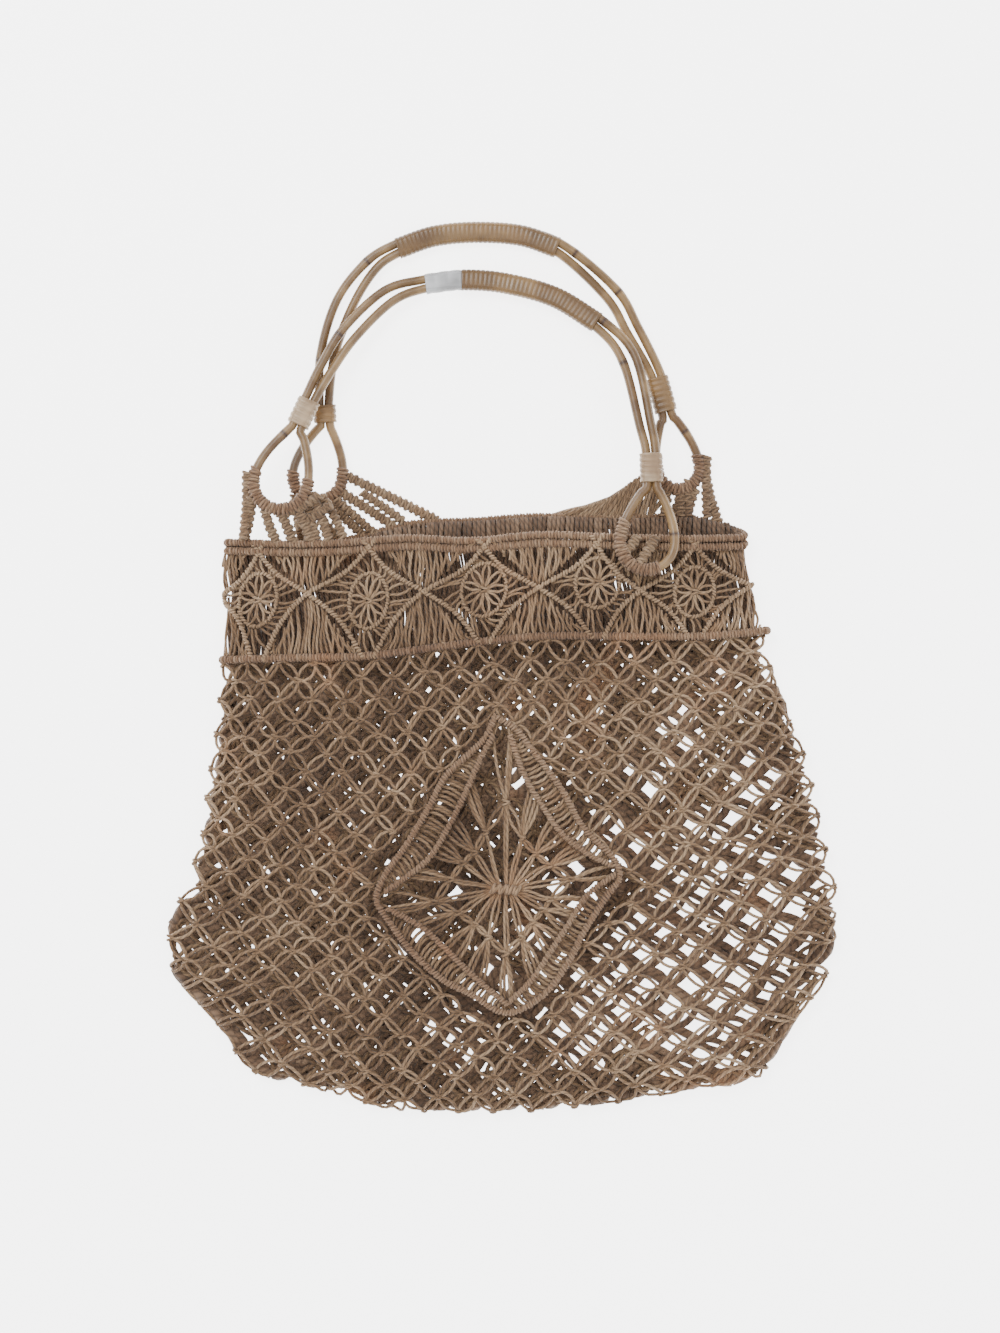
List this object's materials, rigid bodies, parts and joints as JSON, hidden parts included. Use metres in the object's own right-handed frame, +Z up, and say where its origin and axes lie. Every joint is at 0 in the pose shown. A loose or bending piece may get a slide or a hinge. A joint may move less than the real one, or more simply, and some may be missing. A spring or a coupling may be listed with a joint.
{
  "type": "sisal macrame tote bag",
  "caption": "Macrame net tote bag in natural sisal cord with a hitched diamond on the front and double-cane handles, laid flat on its back.",
  "frame": {"origin": "centre of the whole bag on the surface that it lies on", "axes": "+X across the bag, +Y from the base towards the handles, +Z up from the surface"},
  "size_m": [0.4201, 0.5559, 0.0374],
  "materials": {
    "sisal_net": "matte twisted sisal cord, grey-brown with darker hollows",
    "sisal_bars": "matte hitched sisal cord, warm brown",
    "sisal_straps": "matte square-knotted sisal cord",
    "rattan_cane": "satin natural cane with brown growth rings and honey stains",
    "rattan_binding": "satin split-cane binding, pale, one stretch bound in whitish tape"
  },
  "bodies": {
    "root": {"net_body": "sisal_net", "patterned_band": "sisal_net", "rim_bar_upper": "sisal_bars", "rim_bar_lower": "sisal_bars", "waist_bar": "sisal_bars", "diamond_ridge_outer": "sisal_bars", "diamond_ridge_inner": "sisal_bars", "diamond_centre_wrap": "sisal_bars", "cane_ring_back": "rattan_cane", "cane_ring_front": "rattan_cane", "grip_wrap_back": "rattan_binding", "grip_wrap_front": "rattan_binding", "collar_back_left": "rattan_binding", "collar_back_right": "rattan_binding", "collar_front_left": "rattan_binding", "collar_front_right": "rattan_binding", "eye_wrap_back_left": "sisal_bars", "eye_wrap_back_right": "sisal_bars", "eye_wrap_front_left": "sisal_bars", "eye_wrap_front_right": "sisal_bars", "gusset_back_right": "sisal_straps", "sinnet_front_left_1": "sisal_straps", "sinnet_front_left_2": "sisal_straps", "sinnet_front_left_3": "sisal_straps", "sinnet_front_left_4": "sisal_straps", "sinnet_front_left_5": "sisal_straps", "sinnet_front_right_1": "sisal_straps", "sinnet_front_right_2": "sisal_straps", "sinnet_back_left_1": "sisal_straps", "sinnet_back_left_2": "sisal_straps", "sinnet_back_left_3": "sisal_straps", "sinnet_back_left_4": "sisal_straps", "sinnet_back_left_5": "sisal_straps", "sinnet_back_right_1": "sisal_straps", "sinnet_back_right_2": "sisal_straps", "sinnet_back_right_3": "sisal_straps"}
  },
  "joints": []
}
